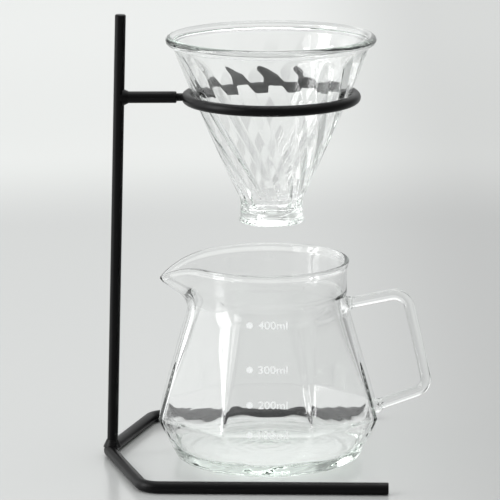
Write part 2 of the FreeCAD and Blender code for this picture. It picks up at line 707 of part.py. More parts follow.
def make_server_handle(server_solid):
    """Glass rod from the neck round to the widest, coped to the server's outside."""
    side_line = "(sizes.shoulder_radius * cos(180 / sizes.side_count))"
    corners = [
        (f"sizes.server_neck_radius - {ROOT_OVERLAP}", "sizes.handle_root_height"),
        (f"{side_line} + sizes.handle_top_gap", "sizes.handle_top_height"),
        (f"{side_line} + sizes.handle_low_gap", "sizes.handle_low_height"),
        (f"{side_line} - {ROOT_OVERLAP}", "sizes.shoulder_height + sizes.handle_foot_rise"),
    ]
    bends = ["sizes.handle_upper_bend", "sizes.handle_lower_bend"]
    rod, _ = bent_rod("handle_blank", "XZ_Plane", corners, bends, "sizes.handle_diameter")
    return cut("server_handle", rod, server_solid)


def build():
    base_rod = make_base_rod()
    upright_rod = make_upright_rod(base_rod)
    foot_weld = make_foot_weld(base_rod, upright_rod)
    support_arm = make_support_arm(upright_rod)
    arm_weld = make_arm_weld(upright_rod, support_arm)
    dripper_ring = make_dripper_ring()
    ring_weld = make_ring_weld(dripper_ring)
    dripper = make_dripper()
    server_solid, server_body = make_server_body()
    server_handle = make_server_handle(server_solid)
    doc.recompute()
    return [base_rod, upright_rod, foot_weld, support_arm, arm_weld, dripper_ring,
            ring_weld, dripper, server_body, server_handle]


def check(nodes):
    """Stop if any object failed, or a sub-part has no valid solid."""
    for obj in doc.Objects:
        if any(word in ("Invalid", "Error") for word in obj.State):
            raise RuntimeError(f"{obj.Name} failed: {obj.State}")
    for node in nodes:
        shape = node.Shape
        if shape.isNull() or not shape.isValid() or not shape.Solids:
            raise RuntimeError(f"{node.Label} has no valid solid")


nodes = build()
check(nodes)
os.makedirs("parts", exist_ok=True)
for node in nodes:
    node.Shape.exportStep(os.path.join("parts", f"{node.Label}.step"))
    box = node.Shape.BoundBox
    print(node.Label, len(node.Shape.Solids), round(node.Shape.Volume, 1),
          [round(v, 2) for v in (box.XMin, box.YMin, box.ZMin, box.XMax, box.YMax, box.ZMax)])
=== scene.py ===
import math

import bmesh
import bpy
import numpy as np
from mathutils import Matrix, Vector


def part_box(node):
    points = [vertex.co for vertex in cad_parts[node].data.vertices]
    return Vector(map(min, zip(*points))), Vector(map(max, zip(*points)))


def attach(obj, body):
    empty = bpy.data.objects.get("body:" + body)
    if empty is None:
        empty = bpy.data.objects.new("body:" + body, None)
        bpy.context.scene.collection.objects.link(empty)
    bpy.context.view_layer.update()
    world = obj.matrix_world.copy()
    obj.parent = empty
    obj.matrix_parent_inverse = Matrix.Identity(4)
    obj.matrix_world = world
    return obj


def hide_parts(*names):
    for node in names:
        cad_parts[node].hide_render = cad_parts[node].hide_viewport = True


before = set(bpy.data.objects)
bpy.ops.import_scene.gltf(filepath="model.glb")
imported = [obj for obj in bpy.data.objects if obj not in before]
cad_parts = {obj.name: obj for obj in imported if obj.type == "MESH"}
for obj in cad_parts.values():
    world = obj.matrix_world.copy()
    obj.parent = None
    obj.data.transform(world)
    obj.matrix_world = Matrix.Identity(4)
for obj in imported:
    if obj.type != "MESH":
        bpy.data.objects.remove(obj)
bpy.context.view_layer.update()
mm = 0.001
mergeGap = 0.01 * mm


# shared helpers

def smoothStep(low, high, value):
    share = np.clip((value - low) / (high - low), 0.0, 1.0)
    return share * share * (3.0 - 2.0 * share)


# outline: (radius, height, depth) in mm; depth 0 is the outer skin, 1 the inner one
def spinOutline(outline, steps, onAxis):
    bm = bmesh.new()
    depthLayer = bm.verts.layers.float.new("depth")
    ring = []
    for radius, height, depth in outline:
        vert = bm.verts.new((radius * mm, 0.0, height * mm))
        vert[depthLayer] = depth
        ring.append(vert)
    edges = [bm.edges.new(pair) for pair in zip(ring, ring[1:])]
    if not onAxis:
        edges.append(bm.edges.new((ring[-1], ring[0])))
    bmesh.ops.spin(bm, geom=ring + edges, cent=(0, 0, 0), axis=(0, 0, 1), dvec=(0, 0, 0),
                   angle=2 * math.pi, steps=steps, use_merge=True, use_duplicate=False)
    if onAxis:
        poles = [vert for vert in bm.verts if vert.co.xy.length < mergeGap]
        bmesh.ops.remove_doubles(bm, verts=poles, dist=mergeGap)
    bmesh.ops.recalc_face_normals(bm, faces=bm.faces)
    return bm


# moves every vertex: shaper gets angle (radians), radius, height (mm) and depth as arrays
def reshape(bm, shaper):
    depthLayer = bm.verts.layers.float["depth"]
    spots = np.array([vert.co for vert in bm.verts]) / mm
    depth = np.array([vert[depthLayer] for vert in bm.verts])
    radius = np.hypot(spots[:, 0], spots[:, 1])
    angle = np.arctan2(spots[:, 1], spots[:, 0])
    angle, radius, height = shaper(angle, radius, spots[:, 2], depth)
    for vert, turn, reach, level in zip(bm.verts, angle, radius, height):
        vert.co = (reach * math.cos(turn) * mm, reach * math.sin(turn) * mm, level * mm)


# evens the given vertices out, a few times over
def relax(bm, verts, factor, times):
    for _ in range(times):
        bmesh.ops.smooth_vert(bm, verts=verts, factor=factor,
                              use_axis_x=True, use_axis_y=True, use_axis_z=True)


# smooth finished object at the origin, with its place in its mesh
def placeMesh(name, bm, material, place=(0, 0, 0)):
    bmesh.ops.translate(bm, verts=bm.verts, vec=place)
    mesh = bpy.data.meshes.new(name)
    bm.to_mesh(mesh)
    bm.free()
    for face in mesh.polygons:
        face.use_smooth = True
    mesh.materials.append(material)
    piece = bpy.data.objects.new(name, mesh)
    bpy.context.scene.collection.objects.link(piece)
    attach(piece, "root")
    return piece


# finishes

# goes from start to end while the source goes from low to high
def rangeNode(nodes, links, source, low, high, start, end, easing="SMOOTHSTEP"):
    step = nodes.new("ShaderNodeMapRange")
    step.interpolation_type = easing
    for name, value in (("From Min", low), ("From Max", high), ("To Min", start), ("To Max", end)):
        step.inputs[name].default_value = value
    links.new(source, step.inputs["Value"])
    return step.outputs["Result"]


def mathNode(nodes, links, operation, first, second):
    result = nodes.new("ShaderNodeMath")
    result.operation = operation
    links.new(first, result.inputs[0])
    links.new(second, result.inputs[1])
    return result.outputs["Value"]


grainLook = {
    "detail": 3.0,
    "patchScale": 45.0,
    "patchDetail": 2.0,
    "spread": (0.3, 0.7),
}


# fine grain: a height for bump and a mask of wider patches, at a given scale
def grainGroup():
    group = bpy.data.node_groups.new("fineGrain", "ShaderNodeTree")
    for name, way in (("Scale", "INPUT"), ("Softness", "INPUT"), ("Height", "OUTPUT"), ("Mask", "OUTPUT")):
        group.interface.new_socket(name, in_out=way, socket_type="NodeSocketFloat")
    nodes, links = group.nodes, group.links
    inlet, outlet = nodes.new("NodeGroupInput"), nodes.new("NodeGroupOutput")
    place = nodes.new("ShaderNodeTexCoord")
    noise = nodes.new("ShaderNodeTexNoise")
    noise.inputs["Detail"].default_value = grainLook["detail"]
    patches = nodes.new("ShaderNodeTexNoise")
    patches.inputs["Scale"].default_value = grainLook["patchScale"]
    patches.inputs["Detail"].default_value = grainLook["patchDetail"]
    links.new(place.outputs["Object"], noise.inputs["Vector"])
    links.new(place.outputs["Object"], patches.inputs["Vector"])
    links.new(inlet.outputs["Scale"], noise.inputs["Scale"])
    links.new(inlet.outputs["Softness"], noise.inputs["Roughness"])
    links.new(noise.outputs["Fac"], outlet.inputs["Height"])
    links.new(patches.outputs["Fac"], outlet.inputs["Mask"])
    return group


def newMaterial(name):
    material = bpy.data.materials.new(name)
    material.use_nodes = True
    nodes, links = material.node_tree.nodes, material.node_tree.links
    nodes.clear()
    output = nodes.new("ShaderNodeOutputMaterial")
    shader = nodes.new("ShaderNodeBsdfPrincipled")
    return material, nodes, links, output, shader


def placeGrain(nodes, grain, look):
    placed = nodes.new("ShaderNodeGroup")
    placed.node_tree = grain
    placed.inputs["Scale"].default_value = look["grainScale"]
    placed.inputs["Softness"].default_value = look["grainSoftness"]
    return placed


def addBump(nodes, links, shader, height, strength, distance):
    bump = nodes.new("ShaderNodeBump")
    bump.inputs["Strength"].default_value = strength
    bump.inputs["Distance"].default_value = distance
    links.new(height, bump.inputs["Height"])
    links.new(bump.outputs["Normal"], shader.inputs["Normal"])


# spreads the grain's middle values over a range of roughness or opacity
def spreadGrain(nodes, links, source, limits, entry):
    links.new(rangeNode(nodes, links, source, *grainLook["spread"], *limits, "LINEAR"), entry)


powderCoat = {
    "colour": (0.0011, 0.0010, 0.0012, 1),
    "paleColour": (0.0024, 0.0022, 0.0025, 1),
    "roughness": (0.28, 0.38),
    "grainScale": 2600.0,
    "grainSoftness": 0.6,
    "grainHeight": 0.04 * mm,
    "grainStrength": 0.18,
    "specular": 0.13,
}


def makePowderCoat(grain):
    material, nodes, links, output, shader = newMaterial("blackPowderCoat")
    look = placeGrain(nodes, grain, powderCoat)
    colours = nodes.new("ShaderNodeValToRGB")
    colours.color_ramp.elements[0].color = powderCoat["colour"]
    colours.color_ramp.elements[1].color = powderCoat["paleColour"]
    links.new(look.outputs["Mask"], colours.inputs["Fac"])
    links.new(colours.outputs["Color"], shader.inputs["Base Color"])
    spreadGrain(nodes, links, look.outputs["Mask"], powderCoat["roughness"], shader.inputs["Roughness"])
    addBump(nodes, links, shader, look.outputs["Height"],
            powderCoat["grainStrength"], powderCoat["grainHeight"])
    shader.inputs["Specular IOR Level"].default_value = powderCoat["specular"]
    links.new(shader.outputs["BSDF"], output.inputs["Surface"])
    return material


clearGlass = {
    "ior": 1.47,
    "tint": (0.62, 0.86, 0.70, 1),
    "tintDensity": 3.8,
    "clearColour": (0.985, 0.99, 0.987, 1),
    "roughness": (0.0, 0.012),
    "grainScale": 38.0,
    "grainSoftness": 0.3,
    "waveHeight": 0.6 * mm,
    "waveStrength": 0.02,
    "serverWaves": 1.0,
    "dripperWaves": 0.6,
    "handleWaves": 0.4,
}


# clear glass that lets light through to the table instead of a dark shadow
def makeGlass(grain, name, waves):
    material, nodes, links, output, shader = newMaterial(name)
    shader.inputs["Base Color"].default_value = (1, 1, 1, 1)
    shader.inputs["Transmission Weight"].default_value = 1.0
    shader.inputs["IOR"].default_value = clearGlass["ior"]
    look = placeGrain(nodes, grain, clearGlass)
    spreadGrain(nodes, links, look.outputs["Mask"], clearGlass["roughness"], shader.inputs["Roughness"])
    addBump(nodes, links, shader, look.outputs["Height"],
            clearGlass["waveStrength"] * waves, clearGlass["waveHeight"])
    path = nodes.new("ShaderNodeLightPath")
    shadow, diffuse = path.outputs["Is Shadow Ray"], path.outputs["Is Diffuse Ray"]
    either = mathNode(nodes, links, "MAXIMUM", shadow, diffuse)
    clear = nodes.new("ShaderNodeBsdfTransparent")
    clear.inputs["Color"].default_value = clearGlass["clearColour"]
    mix = nodes.new("ShaderNodeMixShader")
    links.new(either, mix.inputs["Fac"])
    links.new(shader.outputs["BSDF"], mix.inputs[1])
    links.new(clear.outputs["BSDF"], mix.inputs[2])
    links.new(mix.outputs["Shader"], output.inputs["Surface"])
    tint = nodes.new("ShaderNodeVolumeAbsorption")
    tint.inputs["Color"].default_value = clearGlass["tint"]
    tint.inputs["Density"].default_value = clearGlass["tintDensity"]
    links.new(tint.outputs["Volume"], output.inputs["Volume"])
    return material


scaleInk = {
    "colour": (0.86, 0.87, 0.87, 1),
    "opacity": (0.62, 0.82),
    "grainScale": 1800.0,
    "grainSoftness": 0.5,
    "roughness": 0.55,
    # painted glow: the print's emission makes it brighter than the light on it
    "paintedGlowColour": (1, 1, 1, 1),
    "glow": 0.16,
}


# white scale print, thin enough to see through a little, with a faint painted glow that makes it brighter
# than the light on it
def makePrint(grain):
    material, nodes, links, output, shader = newMaterial("whitePrint")
    look = placeGrain(nodes, grain, scaleInk)
    spreadGrain(nodes, links, look.outputs["Height"], scaleInk["opacity"], shader.inputs["Alpha"])
    shader.inputs["Base Color"].default_value = scaleInk["colour"]
    shader.inputs["Roughness"].default_value = scaleInk["roughness"]
    # painted glow, though the print is no lamp
    shader.inputs["Emission Color"].default_value = scaleInk["paintedGlowColour"]
    shader.inputs["Emission Strength"].default_value = scaleInk["glow"]
    links.new(shader.outputs["BSDF"], output.inputs["Surface"])
    return material


grain = grainGroup()
steelCoat = makePowderCoat(grain)
serverGlass = makeGlass(grain, "serverGlass", clearGlass["serverWaves"])
dripperGlass = makeGlass(grain, "dripperGlass", clearGlass["dripperWaves"])
handleGlass = makeGlass(grain, "handleGlass", clearGlass["handleWaves"])
scalePrint = makePrint(grain)
print("finishes ready")


# stand: the bent, straight and welded rods come from the frame as they are

standNodes = (
    "base_rod", "upright_rod", "foot_weld", "support_arm", "arm_weld", "dripper_ring", "ring_weld",
)
for node in standNodes:
    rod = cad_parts[node]
    for place in rod.material_slots:
        place.material = steelCoat
    for face in rod.data.polygons:
        face.use_smooth = True
print("stand coated")


# server: a round blank pressed flat on eight sides, with a drawn-out spout

server = {
    "columns": 320,
    "rowGather": 1.5,
    "sides": 8,
    "shoulderRadius": 54.5,
    "shoulderHeight": 22.3,
    "footRadius": 36.0,
    "footRound": 12.0,
    "footArc": 0.75,
    "facetFootRadius": 42.0,
    "fanSpread": 11.25,  # degrees
    "leastFacing": 0.2,  # keeps a side that faces away from cutting in
    "neckFree": 60.0,
    "neckFade": (-1.0, 4.0),  # from the neck's height
    "neckRadius": 36.0,
    "neckHeight": 79.0,
    "blendHeight": 8.0,
    "blendCurve": 16.2,
    "cornerLift": 0.5,
    "blankRoom": 6.0,
    "lipFlare": 1.8,
    "lipHeight": 6.0,
    "lipCurve": 1.8,
    "wall": 2.0,
    "neckWall": 1.7,
    "lipBead": 0.9,
    "beadReach": (3.6, 1.2),  # down from the rim
    "lipRound": 1.2,
    "floor": 6.3,
    "floorRound": 6.0,
    "floorExtra": 0.6,
    "floorLift": 0.1,
    "floorDip": 0.5,
    "floorMiddle": 0.35,
    "floorRows": 23,
    "punt": 0.5,
    "puntRadius": 34,
    "spoutDepth": 22.8,
    "spoutDrop": 8.6,
    "spoutReach": 50.1,
    "spoutFall": 28.1,
    "spoutTip": 2.3,
    "spoutInset": 0.9,
    "spoutSwell": (0.1225, 2.249, -1.3716),  # first, second and third power of the climb
    "spoutOver": 0.62,
    "spoutBase": 77.0,
    "spoutGather": 0.8,
    "gatherHeights": (73.0, 83.0),
    "outerSoftness": (0.22, 1.5),  # of the ridges, low down and high up
    "innerSoftness": (0.35, 2.4),
    "softHeights": (28.0, 72.0),
    "spoutMelt": 1.5,
    "ridgeGather": 0.7,
    "unevenness": 0.09,
    "unevenHeights": (1.0, 4.0, 12.0, 21.0),  # starts, is full, fades, ends
    "unevenRadius": (30.0, 38.0),
    "ripple": 0.14,
    "rippleLength": 5.5,
    "rippleFade": 22.0,
    "wideRadius": 200.0,
    "wallLevels": (68.0, 80.0),
    "outerRows": (16, 30, 16, 16),  # below the shoulder, above it, then to each wall level
    "innerRows": (12, 28, 14, 16),
    "footRows": 14,
    "floorRoundRows": 10,
    "lipPasses": 18,
    "relaxing": ((2.0, 1), (66.0, 3)),  # everything above a height, so many times
    "relaxFactor": 0.25,
    "creaseX": -20.0,
    "creaseLow": 63.0,
    "creaseUnderLip": 4.0,
    "creaseRelaxing": 36,
    "creaseFactor": 0.5,
}
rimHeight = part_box("server_body")[1].z / mm
sideLine = server["shoulderRadius"] * math.cos(math.pi / server["sides"])
neckCorner = server["neckRadius"] / math.cos(math.pi / server["sides"])
taperTop = server["neckHeight"] - server["blendHeight"] / 2


# the flat sides as (normal, distance): eight above the widest, a fan of 24 below
def facetPlanes(inset):
    step = 2 * math.pi / server["sides"]
    spread = math.radians(server["fanSpread"])

    def at(radius, angle, height):
        return Vector((radius * math.cos(angle), radius * math.sin(angle), height))

    upper, lower = [], []
    for index in range(server["sides"]):
        here = (index + 0.5) * step
        after = here + step
        node = at(server["shoulderRadius"], here, server["shoulderHeight"])
        nextNode = at(server["shoulderRadius"], after, server["shoulderHeight"])
        foot = [at(server["facetFootRadius"], here + share * spread, 0) for share in (-1, 0, 1)]
        for group, three in (
            (upper, (node, nextNode, at(neckCorner, here, taperTop))),
            (lower, (node, nextNode, foot[2])),
            (lower, (node, foot[0], foot[1])),
            (lower, (node, foot[1], foot[2])),
        ):
            normal = (three[1] - three[0]).cross(three[2] - three[0]).normalized()
            if normal.dot(three[0]) < 0:
                normal = -normal
            group.append((normal, normal.dot(three[0]) - inset))
    return upper, lower


# smooth minimum along the first axis
def softLeast(values, softness):
    least = values.min(axis=0)
    return least - softness * np.log(np.exp(-(values - least) / softness).sum(axis=0))


# reach of every flat side at an angle and height; the neck above them is free
def facetRadius(angle, height, inset):
    upper, lower = facetPlanes(inset)
    reach = []
    for planes, level in ((upper, np.minimum(height, taperTop)), (lower, height)):
        for normal, distance in planes:
            facing = normal.x * np.cos(angle) + normal.y * np.sin(angle)
            facing = np.maximum(facing, server["leastFacing"])
            reach.append((distance - normal.z * level) / facing)
    fadeLow, fadeHigh = server["neckFade"]
    free = server["neckFree"] * smoothStep(server["neckHeight"] + fadeLow,
                                           server["neckHeight"] + fadeHigh, height)
    return np.array(reach) + free


# radius of an outline that curves inwards from start to end, both (radius, height)
def hollowArc(height, start, end, radius):
    middle = ((start[0] + end[0]) / 2, (start[1] + end[1]) / 2)
    chord = (end[0] - start[0], end[1] - start[1])
    length = math.hypot(*chord)
    away = math.sqrt(radius * radius - length * length / 4)
    centre = (middle[0] + chord[1] / length * away, middle[1] - chord[0] / length * away)
    return centre[0] - np.sqrt(np.maximum(radius * radius - (height - centre[1]) ** 2, 0.0))


# round blank above the foot's arc
def blankRadius(height):
    sideTop = server["neckHeight"] - server["blendHeight"]
    climb = (sideTop - server["shoulderHeight"]) / (taperTop - server["shoulderHeight"])
    corner = server["shoulderRadius"] - (server["shoulderRadius"] - neckCorner) * climb
    start = (corner + server["cornerLift"], sideTop)
    blend = hollowArc(height, start, (server["neckRadius"], server["neckHeight"]), server["blendCurve"])
    flareStart = rimHeight - server["lipHeight"]
    flare = np.clip((height - flareStart) / server["lipHeight"], 0, 1)
    lip = server["lipFlare"] * flare ** server["lipCurve"]
    wide = server["shoulderRadius"] + server["blankRoom"]
    neck = np.where(height < server["neckHeight"], blend, server["neckRadius"] + lip)
    return np.where(height < sideTop, wide, neck)


# teardrop outline round the neck that is drawn out to the spout's tip at -X
def spoutRadius(angle, height, inset):
    start = rimHeight - server["spoutDepth"]
    tipHeight = rimHeight - server["spoutDrop"]
    climb = np.clip((height - start) / (tipHeight - start), 0.0, None)
    first, second, third = server["spoutSwell"]
    swell = np.where(climb < 1.0, first * climb + second * climb ** 2 + third * climb ** 3,
                     1.0 + server["spoutOver"] * (climb - 1.0))
    circle = server["neckRadius"] - server["spoutInset"] - inset
    reach = circle + (server["spoutReach"] - inset - circle) * swell
    tip = server["spoutTip"] - inset
    centre = np.maximum(reach - tip, circle - tip + 0.001)
    off = np.abs(np.abs(angle) - math.pi)
    lean = np.arccos(np.clip((circle - tip) / centre, -1, 1))
    side = circle / np.maximum(np.cos(off - lean), 0.05)
    across = centre * np.sin(off)
    nose = centre * np.cos(off) + np.sqrt(np.maximum(tip ** 2 - across ** 2, 0.0))
    noseEnds = np.arctan2(tip * np.sin(lean), centre + tip * np.cos(lean))
    drawn = np.where(off < noseEnds, nose, np.where(off < lean, side, circle))
    return np.where(climb > 0, drawn, 0.0)


# brings columns closer together on the ridges and towards the spout's tip
def gather(angle, height):
    sides = server["sides"]
    angle = angle + server["ridgeGather"] / sides * np.sin(sides * angle)
    amount = server["spoutGather"] * smoothStep(*server["gatherHeights"], height)
    off = angle - np.sign(angle) * math.pi
    share = np.clip(np.abs(off) / (math.pi / 2), 0, 1)
    tighter = off * (1 - amount * (1 - share))
    return tighter + np.sign(angle) * math.pi


# skin of the glass; lip is how much the rim's bead adds to the wall
def serverSkin(angle, radius, height, depth, lip):
    angle = gather(angle, height)
    skins = []
    for layer, (low, high) in ((0.0, server["outerSoftness"]), (1.0, server["innerSoftness"])):
        softness = low + (high - low) * smoothStep(*server["softHeights"], height)
        reach = facetRadius(angle, height, layer * server["wall"])
        blank = blankRadius(height) - layer * server["neckWall"]
        skins.append(softLeast(np.vstack([reach, blank[None, :]]), softness))
    body = skins[0] * (1 - depth) + (skins[1] - lip) * depth
    spout = spoutRadius(angle, height, depth * (server["neckWall"] + lip * 0.5))
    melt = server["spoutMelt"]
    high, low = np.maximum(body, spout), np.minimum(body, spout)
    body = high + melt * np.log1p(np.exp((low - high) / melt))
    return angle, np.minimum(radius, body)


# faint unevenness of the thick glass round the foot
def handBlown(angle, radius, height):
    wave = np.sin(13 * angle + 0.9 * height + 1.3) * np.cos(7 * angle - 0.7 * height)
    wave = wave + 0.6 * np.sin(23 * angle - 1.7 * height)
    start, full, fade, end = server["unevenHeights"]
    low = smoothStep(start, full, height) * smoothStep(-end, -fade, -height)
    return server["unevenness"] * wave * low * smoothStep(*server["unevenRadius"], radius)


# height of the lip: level, then falling in an arc towards the spout's tip
def lipHeightAt(x):
    run = server["spoutReach"] - server["spoutFall"]
    drop = server["spoutDrop"]
    curve = (run * run + drop * drop) / (2 * drop)
    past = np.clip(-server["spoutFall"] - x, 0.0, curve)
    return rimHeight - curve + np.sqrt(curve * curve - past * past)


# flattens the sides, then draws the spout out and lets the lip fall to it
def serverShape(angle, radius, height, depth):
    base = server["spoutBase"]
    upper = height > base
    share = (height[upper] - base) / (rimHeight - base)
    top = np.full_like(share, rimHeight)
    wide = np.full_like(share, server["wideRadius"])
    beadLow, beadHigh = server["beadReach"]
    lip = server["lipBead"] * smoothStep(rimHeight - beadLow, rimHeight - beadHigh, height)
    for _ in range(server["lipPasses"]):
        turned, reach = serverSkin(angle[upper], wide, top, depth[upper], lip[upper])
        top = 0.5 * (top + lipHeightAt(reach * np.cos(turned)))
    dropped = height.copy()
    dropped[upper] = base + share * (top - base)
    turned, reach = serverSkin(angle, radius, dropped, depth, lip)
    return turned, reach + handBlown(turned, reach, dropped), dropped


# heights up the wall from lowest to highest, closer together at the shoulder
def wallHeights(lowest, highest, rows):
    shoulder, tight = server["shoulderHeight"], server["rowGather"]
    collar, neck = server["wallLevels"]
    below, above, throat, top = rows
    heights = [shoulder - (shoulder - lowest) * (index / below) ** tight
               for index in range(below, 0, -1)]
    heights += [shoulder + (collar - shoulder) * (index / above) ** tight for index in range(above)]
    heights += [collar + (neck - collar) * index / throat for index in range(throat)]
    heights += [neck + (highest - neck) * index / top for index in range(top + 1)]
    return heights


# half section from the middle of the underside, out, up, over the lip and down inside
def serverOutline():
    wide, puntRadius = server["wideRadius"], server["puntRadius"]
    outline = [(radius, server["punt"] * (1 - (radius / puntRadius) ** 2) ** 2, 0.0)
               for radius in range(0, puntRadius + 1, 2)]

    footRadius, footRound, footArc = server["footRadius"], server["footRound"], server["footArc"]
    lowest = math.acos(1 - footArc)
    for index in range(server["footRows"] + 1):
        turn = lowest * index / server["footRows"]
        outline.append((footRadius + footRound * math.sin(turn), footRound * (1 - math.cos(turn)), 0.0))

    lipRound = server["lipRound"]
    lipLow = rimHeight - lipRound
    outline += [(wide, height, 0.0)
                for height in wallHeights(footRound * footArc, lipLow, server["outerRows"])[1:]]
    for turn in (15, 30, 45, 60, 75, 105, 120, 135, 150, 165):  # degrees over the lip
        outline.append((wide, lipLow + lipRound * math.sin(math.radians(turn)),
                        0.5 - 0.5 * math.cos(math.radians(turn))))

    floor, floorRound = server["floor"], server["floorRound"]
    heights = wallHeights(floor + floorRound * footArc, lipLow, server["innerRows"])[1:]
    outline += [(wide, height, 1.0) for height in reversed(heights)]
    floorOut = footRadius + footRound * math.sin(lowest) - server["wall"] - server["floorExtra"]
    floorFlat = floorOut - floorRound * math.sin(lowest)
    for index in range(server["floorRoundRows"], -1, -1):
        turn = lowest * index / server["floorRoundRows"]
        outline.append((floorFlat + floorRound * math.sin(turn),
                        floor + floorRound * (1 - math.cos(turn)), 1.0))
    for index in range(server["floorRows"] - 1, 0, -1):
        share = index / server["floorRows"]
        radius = floorFlat * share
        ripple = server["ripple"] * math.cos(radius * 2 * math.pi / server["rippleLength"])
        ripple *= math.exp(-radius / server["rippleFade"])
        dip = server["floorDip"] * (1 - share) ** 2
        outline.append((radius, floor + server["floorLift"] - dip + ripple, 1.0))
    outline.append((0.0, floor - server["floorMiddle"], 1.0))
    return outline


def makeServer():
    bm = spinOutline(serverOutline(), server["columns"], True)
    reshape(bm, serverShape)
    for lowest, times in server["relaxing"]:
        relax(bm, [vert for vert in bm.verts if vert.co.z > lowest * mm], server["relaxFactor"], times)
    crease = []
    for vert in bm.verts:
        x, _, z = vert.co / mm
        if x < server["creaseX"] and server["creaseLow"] < z < lipHeightAt(x) - server["creaseUnderLip"]:
            crease.append(vert)
    relax(bm, crease, server["creaseFactor"], server["creaseRelaxing"])
    bmesh.ops.recalc_face_normals(bm, faces=bm.faces)
    piece = placeMesh("glassServer", bm, serverGlass)
    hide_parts("server_body")


makeServer()
print("server blown")


# handle: a bent glass rod that swells where it is fused to the server

handle = {
    "rodRadius": 2.5,
    "rootSink": 0.6,
    "rootHeight": 72.6,
    "topGap": 13.6,
    "topHeight": 78.3,
    "lowGap": 23.87,
    "lowHeight": 32.7,
    "footSink": 1.0,
    "footRise": 1.5,
    "upperBend": 7.5,
    "lowerBend": 6.0,
    "sides": 32,
    "spacing": 1.2,
    "bendSteps": 12,
    "swell": 1.1,
    "swellReach": (0.8, 4.2),  # from either end
}


# points along straight runs that are joined by tangent arcs
def bentLine(corners, bends, spacing, steps):
    points = [corners[0]]

    def runTo(end):
        start = points[-1]
        count = max(2, int((end - start).length / spacing))
        points.extend([start + (end - start) * index / count for index in range(1, count + 1)])

    for before, corner, after, bend in zip(corners, corners[1:], corners[2:], bends):
        wayIn, wayOut = (corner - before).normalized(), (after - corner).normalized()
        turn = wayIn.angle(wayOut)
        start = corner - wayIn * bend * math.tan(turn / 2)
        axis = wayIn.cross(wayOut).normalized()
        centre = start + axis.cross(wayIn) * bend
        runTo(start)
        for index in range(1, steps + 1):
            points.append(centre + Matrix.Rotation(turn * index / steps, 3, axis) @ (start - centre))
    runTo(corners[-1])
    return points


def makeHandle():
    corners = [Vector((x, 0, z)) for x, z in (
        (server["neckRadius"] - handle["rootSink"], handle["rootHeight"]),
        (sideLine + handle["topGap"], handle["topHeight"]),
        (sideLine + handle["lowGap"], handle["lowHeight"]),
        (sideLine - handle["footSink"], server["shoulderHeight"] + handle["footRise"]),
    )]
    bends = (handle["upperBend"], handle["lowerBend"])
    path = bentLine(corners, bends, handle["spacing"], handle["bendSteps"])
    lengths = [0.0]
    for here, there in zip(path, path[1:]):
        lengths.append(lengths[-1] + (there - here).length)
    bm = bmesh.new()
    before = []
    for index, point in enumerate(path):
        along = (path[min(index + 1, len(path) - 1)] - path[max(index - 1, 0)]).normalized()
        fromEnd = min(lengths[index], lengths[-1] - lengths[index])
        swell = handle["swell"] * (1 - smoothStep(*handle["swellReach"], fromEnd))
        turned = Matrix.Translation(point * mm) @ along.to_track_quat("Z", "Y").to_matrix().to_4x4()
        made = bmesh.ops.create_circle(bm, segments=handle["sides"], matrix=turned,
                                       cap_ends=index in (0, len(path) - 1),
                                       radius=(handle["rodRadius"] + float(swell)) * mm)
        ring = list({edge for vert in made["verts"] for edge in vert.link_edges})
        if before:
            bmesh.ops.bridge_loops(bm, edges=before + ring)
        before = ring
    bmesh.ops.recalc_face_normals(bm, faces=bm.faces)
    piece = placeMesh("glassHandle", bm, handleGlass)
    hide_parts("server_handle")


makeHandle()
print("handle bent")


# dripper: pressed glass with sixteen swirled ribs, hanging in the ring

dripper = {
    "columns": 320,
    "ribs": 16,
    "coneTopRadius": 46.9,
    "rimBead": 4.0,
    "rimBite": 0.2,
    "beadUnder": 1.04,
    "beadInside": 0.9,
    "coneLowRadius": 15.4,
    "coneBow": 0.8,
    "coneHeight": 73.4,
    "neckRadius": 14.3,
    "neckHeight": 12.7,
    "neckRows": 8,
    "neckBlend": (3.5, 1.0),
    "blendRows": 5,
    "footRadius": 15.0,
    "footHeight": 2.0,
    "footNeck": 1.4,
    "wall": 2.6,
    "coneRows": 60,
    "ribDepth": 0.9,
    "fluteDepth": 0.08,
    "ribStart": (-6.0, 5.0),  # from the neck's top
    "ribFade": (12.0, 4.0),  # down from the rim
    "footRibs": 0.35,
    "footRibHeights": (2.5, 5.0),
    "footEdge": 0.8,
    "floorEdge": 6.0,
    "swirlSlope": 0.4,
    "swirlStart": (-4.0, 6.0),  # from the neck's top
    "swirlLevels": 400,
    "holeRadius": 5.25,
    "floorThickness": 2.6,
    "recessRadius": 12.2,
    "recessDepth": 1.4,
    "bowlRise": 1.5,
    "bowlCurve": ((0.97, 0.8), (0.93, 0.6), (0.87, 0.4), (0.79, 0.22), (0.68, 0.1), (0.58, 0.03)),
    "relaxFactor": 0.4,
}


def coneRadius(height):
    share = (height - dripper["neckHeight"]) / dripper["coneHeight"]
    low, high = dripper["coneLowRadius"], dripper["coneTopRadius"]
    return low + (high - low) * share + 4 * dripper["coneBow"] * share * (1 - share)


# how far a rib has turned on its way down from the rim
def swirlTurn(height):
    rim = dripper["neckHeight"] + dripper["coneHeight"]
    levels = np.linspace(0.0, rim, dripper["swirlLevels"])
    rates = dripper["swirlSlope"] / np.maximum(coneRadius(levels), dripper["coneLowRadius"] - 1.0)
    below, above = dripper["swirlStart"]
    rates = rates * smoothStep(dripper["neckHeight"] + below, dripper["neckHeight"] + above, levels)
    turned = np.concatenate([[0.0], np.cumsum((rates[1:] + rates[:-1]) / 2 * np.diff(levels))])
    return turned[-1] - np.interp(height, levels, turned)


